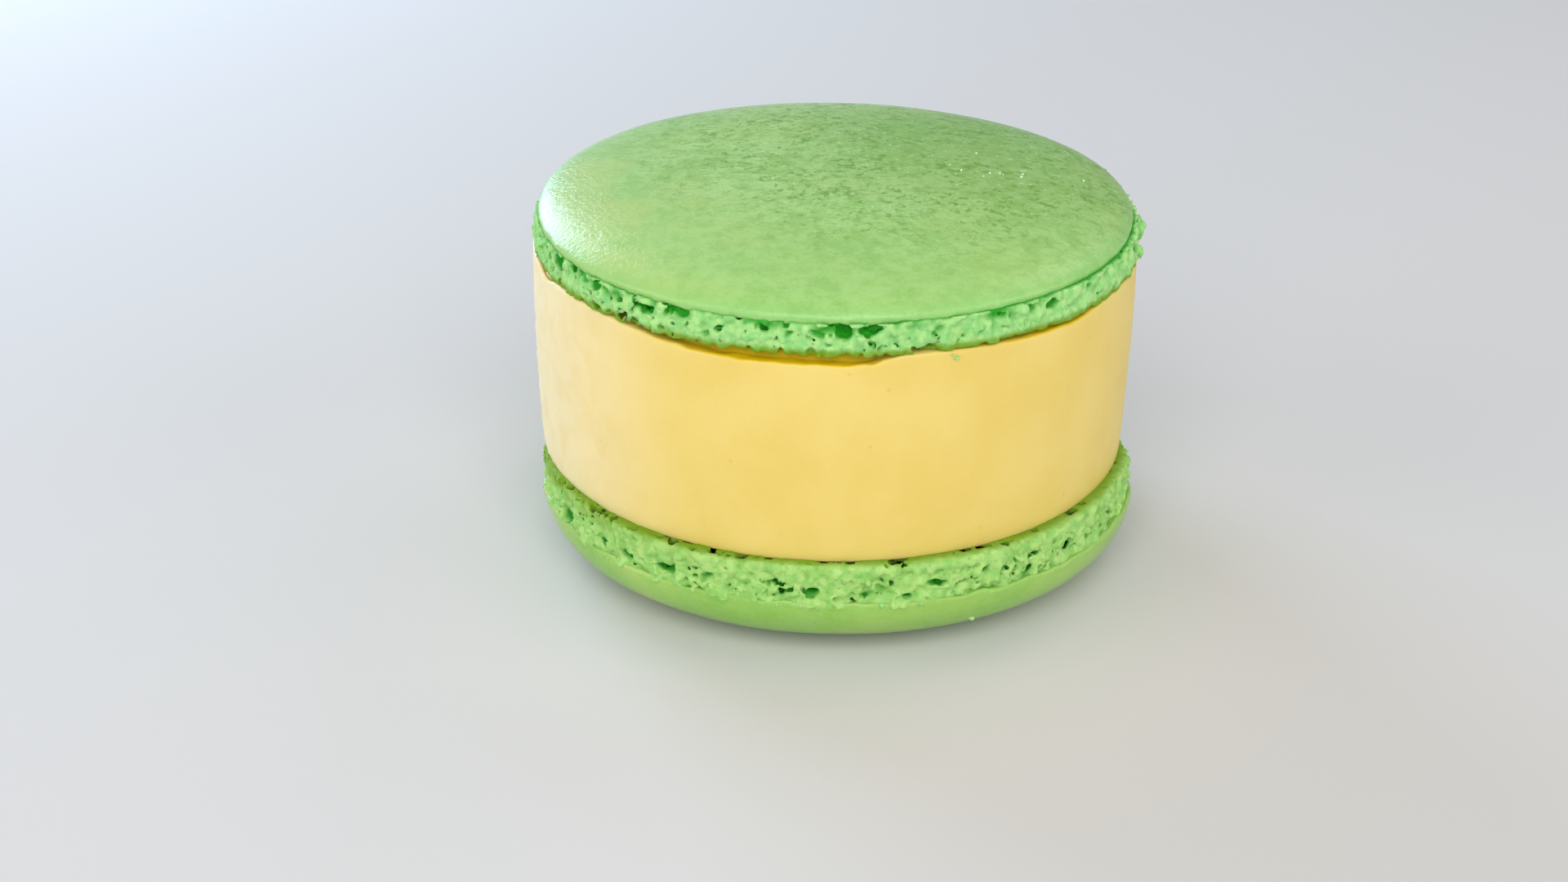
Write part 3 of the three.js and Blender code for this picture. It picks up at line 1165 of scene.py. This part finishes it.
@dataclass
class SugarGrains:
    """Undissolved sugar that glints on the upper cap, in millimetres."""

    count: int = 14
    patch: tuple[float, float] = (19.0, 0.0)  # the middle of the patch where they lie
    spread: float = 3.6
    size: tuple[float, float] = (0.1, 0.2)
    sink: float = 0.35  # share of a grain that is in the skin

    def build(self, shell: MacaronShell, finish: Material) -> None:
        """Scatters the grains over one patch of a shell's cap.

        Args:
            shell: The shell that carries them.
            finish: Their material.
        """
        draw = random.Random(11)
        cap = shell.cap
        bm = bmesh.new()
        for _ in range(self.count):
            x = draw.gauss(self.patch[0], self.spread)
            y = draw.gauss(self.patch[1], 0.6 * self.spread)
            share = min(1.0, math.hypot(x, y) / cap.radius)
            rise = math.sqrt(1.0 - share ** cap.fullness)
            size = draw.uniform(*self.size)
            level = cap.base + cap.lip + cap.dome_height * rise
            turn = Matrix.Rotation(draw.uniform(0.0, math.pi), 4, (draw.random(), 1.0, 0.5))
            place = Matrix.Translation((x, y, level + (0.5 - self.sink) * size))
            bmesh.ops.create_cube(bm, size=size, matrix=place @ turn)
        finish_piece(bm, "sugar_grains", shell.place(shell.cap_at), finish)


# ---- Studio ----


@dataclass(frozen=True)
class SoftLight:
    """A square soft box that points at the macaron."""

    name: str
    direction: tuple[float, float, float]
    distance: float
    size: float
    power: float
    colour: str


@dataclass
class Studio:
    """The pale floor, soft lights and camera."""

    camera_distance: float = 278.4  # millimetres from the aim point
    camera_elevation: float = 26.5  # degrees above the macaron's own level
    camera_aim: tuple[float, float, float] = (-5.64, 0.0, -3.0)
    camera_roll: float = 0.6  # degrees; the macaron leans a little to the right
    lens: float = 52.5
    floor_size: float = 4.0  # metres
    floor_colour: str = "#cfcdca"
    sky_colour: str = "#f0f0f2"
    sky_strength: float = 0.4
    lights: list[SoftLight] = field(default_factory=lambda: [
        SoftLight("window_left", (-0.56, 0.75, 0.34), 0.6, 0.3, 2.6, "#c6e0ff"),
        SoftLight("side_left", (-0.9, -0.35, 0.35), 0.8, 0.6, 2.0, "#ffffff"),
        SoftLight("side_right", (0.9, -0.35, 0.35), 0.8, 0.6, 1.7, "#ffffff"),
        SoftLight("front_fill", (0.0, -0.84, 0.6), 0.9, 0.8, 6.5, "#ffffff"),
        SoftLight("soft_right", (0.52, 0.46, 0.72), 0.6, 0.25, 0.3, "#ffffff"),
    ])

    def build_floor(self) -> None:
        """Lays the pale floor."""
        bm = bmesh.new()
        bmesh.ops.create_grid(bm, x_segments=2, y_segments=2, size=self.floor_size / 2.0)
        bmesh.ops.translate(bm, verts=bm.verts, vec=(0.0, 0.0, CAD_BOX[0][2] - 0.0001))
        mesh = bpy.data.meshes.new("floor")
        bm.to_mesh(mesh)
        bm.free()
        finish = bpy.data.materials.new("pale_floor")
        finish.use_nodes = True
        shader = finish.node_tree.nodes["Principled BSDF"]
        shader.inputs["Base Color"].default_value = linear(self.floor_colour)
        shader.inputs["Roughness"].default_value = 0.8
        mesh.materials.append(finish)
        floor = in_scene("floor", mesh)

    def build_lights(self) -> None:
        """Hangs the soft lights and sets the pale sky."""
        for light in self.lights:
            lamp = bpy.data.lights.new(light.name, "AREA")
            lamp.shape = "SQUARE"
            lamp.size = light.size
            lamp.energy = light.power
            lamp.color = linear(light.colour)[:3]
            holder = in_scene(light.name, lamp)
            away = Vector(light.direction).normalized()
            holder.location = away * light.distance
            holder.rotation_euler = away.to_track_quat("Z", "Y").to_euler()
        sky = bpy.data.worlds.new("pale_sky")
        sky.use_nodes = True
        glow = sky.node_tree.nodes["Background"]
        glow.inputs["Color"].default_value = linear(self.sky_colour)
        glow.inputs["Strength"].default_value = self.sky_strength
        bpy.context.scene.world = sky
        bpy.context.scene.view_settings.view_transform = "Standard"

    def build_camera(self) -> None:
        """Sets the camera up in front of the macaron and above it."""
        aim = (ice_base() + Vector(self.camera_aim)) * MM
        turn = math.radians(self.camera_elevation)
        away = Vector((0.0, -math.cos(turn), math.sin(turn)))
        data = bpy.data.cameras.new("camera")
        data.lens = self.lens
        data.clip_start = 0.01
        camera = in_scene("camera", data)
        camera.location = aim + away * self.camera_distance * MM
        roll = Quaternion((0.0, 0.0, 1.0), math.radians(self.camera_roll))
        camera.rotation_euler = (away.to_track_quat("Z", "Y") @ roll).to_euler()
        bpy.context.scene.camera = camera

    def build(self) -> None:
        """Builds the whole studio."""
        self.build_floor()
        self.build_lights()
        self.build_camera()


# ---- The macaron ----


def upper_shell() -> MacaronShell:
    """Sets out the upper shell, whose larger hollows lie along the crease.

    Returns:
        The shell, foot down.
    """
    hollows = [Hollow(*sizes) for sizes in (
        (-152.0, 2.6, 1.7, 1.6, 2.3), (-146.0, 1.2, 1.1, 1.2, 2.6), (-138.5, 1.8, 1.0, 1.2, 2.6),
        (-126.0, 2.8, 1.2, 1.3, 2.2), (-120.5, 1.1, 0.9, 1.2, 2.5), (-161.0, 1.6, 1.0, 1.2, 2.0),
        (-111.0, 1.1, 0.7, 1.0, 1.7), (-103.5, 1.6, 0.7, 1.0, 2.4), (-98.5, 0.9, 0.8, 1.0, 2.1),
        (-94.3, 1.7, 0.7, 1.0, 2.4), (-89.3, 2.2, 1.9, 1.8, 2.3), (-84.8, 3.2, 1.2, 1.5, 2.6),
        (-77.0, 1.6, 0.5, 0.9, 2.6), (-72.5, 2.0, 1.3, 0.9, 2.0), (-60.5, 1.0, 1.0, 0.9, 2.5),
        (-54.0, 1.6, 0.9, 1.0, 2.4), (-49.5, 2.0, 1.1, 1.2, 2.3), (-39.0, 1.5, 0.7, 0.9, 2.5),
        (-75.0, 2.6, 1.3, 1.0, 0.1))]
    return MacaronShell(
        node="shell_top", label="upper", outline=Outline(0.003, 0.004, 0.6), cap_at=(-0.1, 0.0),
        foot=OpenCrumb(height=2.9, radius=35.1, crease=0.2, crease_swing=0.6, ledge=0.35,
                       open_at=0.75, crown=0.4, middle=(0.05, 0.0), mirrored=False,
                       hollows=hollows, calm=0.55),
        cap=SkinCap(base=2.9, radius=34.35, lip=0.7, tuck=0.35, dome_height=4.0, fullness=2.2,
                    flat_height=4.0, raggedness=0.3, phase=0.6),
        turned_over=False)


def lower_shell() -> MacaronShell:
    """Sets out the lower shell, whose foot and skin meet nearly flush.

    Besides its larger hollows it has a row of small pits in the ledge beside the ice cream.

    Returns:
        The shell, turned over to lie on its dome.
    """
    hollows = [Hollow(*sizes) for sizes in (
        (-150.5, 2.2, 1.3, 1.2, 3.4), (-137.0, 1.2, 1.4, 1.2, 3.2), (-131.0, 1.6, 1.2, 1.2, 3.1),
        (-122.0, 2.8, 1.0, 1.3, 2.8), (-114.0, 1.6, 1.2, 0.9, 2.7), (-102.5, 0.9, 0.9, 0.9, 2.2),
        (-100.0, 0.8, 0.8, 0.9, 3.2), (-95.0, 2.2, 1.5, 1.4, 2.9), (-91.0, 0.8, 0.6, 0.9, 3.6),
        (-85.5, 1.2, 0.9, 1.0, 3.4), (-72.5, 2.3, 0.9, 1.3, 2.5), (-67.5, 0.7, 0.8, 0.9, 2.6),
        (-63.5, 1.2, 1.1, 1.0, 1.6), (-52.5, 1.8, 0.7, 1.0, 1.8), (-57.0, 0.8, 0.6, 0.9, 2.9),
        (-32.5, 0.9, 0.7, 0.9, 3.4), (-28.5, 0.9, 1.4, 0.9, 2.6), (-160.0, 1.2, 1.1, 1.0, 2.9))]
    middle, radius = (0.5, -0.7), 35.75
    pits, first_pit, pitch, reach = 14, -150.0, 9.0, 0.25
    for i in range(pits):
        azimuth = first_pit + pitch * i + 3.0 * math.sin(2.3 * i)
        turn = math.radians(azimuth)
        ledge = (radius - OpenCrumb.ice_radius + middle[0] * math.cos(turn)
                 + middle[1] * math.sin(turn))
        hollows.append(Hollow(azimuth, 0.9 + 1.0 * math.sin(1.7 * i) ** 2, 1.2, 0.6, 0.0,
                              inset=ledge - reach))
    return MacaronShell(
        node="shell_bottom", label="lower", outline=Outline(0.007, 0.003, 2.1, -0.065),
        cap_at=(0.7, -0.4),
        foot=OpenCrumb(height=4.3, radius=radius, crease=0.0, crease_swing=0.2, ledge=0.9,
                       open_at=0.62, crown=0.6, middle=middle, mirrored=True, hollows=hollows),
        cap=SkinCap(base=4.3, radius=36.1, lip=0.4, tuck=0.25, dome_height=7.65, fullness=6.5,
                    flat_height=7.4, raggedness=0.25, phase=2.1),
        turned_over=True)


def main() -> None:
    """Builds the macaron, layer by layer, and the studio round it."""
    logging.basicConfig(level=logging.INFO, format="%(name)s %(message)s")
    Studio().build()
    crumb = BakedMeringueCrumb().material()
    # a yellower copy of the crumb for the lower foot
    yellower_crumb = BakedMeringueCrumb("yellower_meringue_crumb", crumb="#a9d077", tint="#89be60",
                                      shade="#66a844", hollow="#1c880c")
    # the lower cap's skin: plain, with few flecks, and yellower as painted warm bounce light from
    # below
    plain_bounce_lit_skin = BakedMeringueSkin("plain_meringue_skin_bounce_lit", base="#7cb040", pale="#8dbb58",
                                   lip_sheen_share=0.0, fleck_share=0.15)
    lower_shell().build(plain_bounce_lit_skin.material(), yellower_crumb.material())
    IceCreamDisc().build(FrozenCustard().material())
    upper = upper_shell()
    upper.build(BakedMeringueSkin().material(), crumb)
    StrayCrumbs().build(crumb)
    SugarGrains().build(upper, SugarGlint().material())


if __name__ == "__main__":
    main()
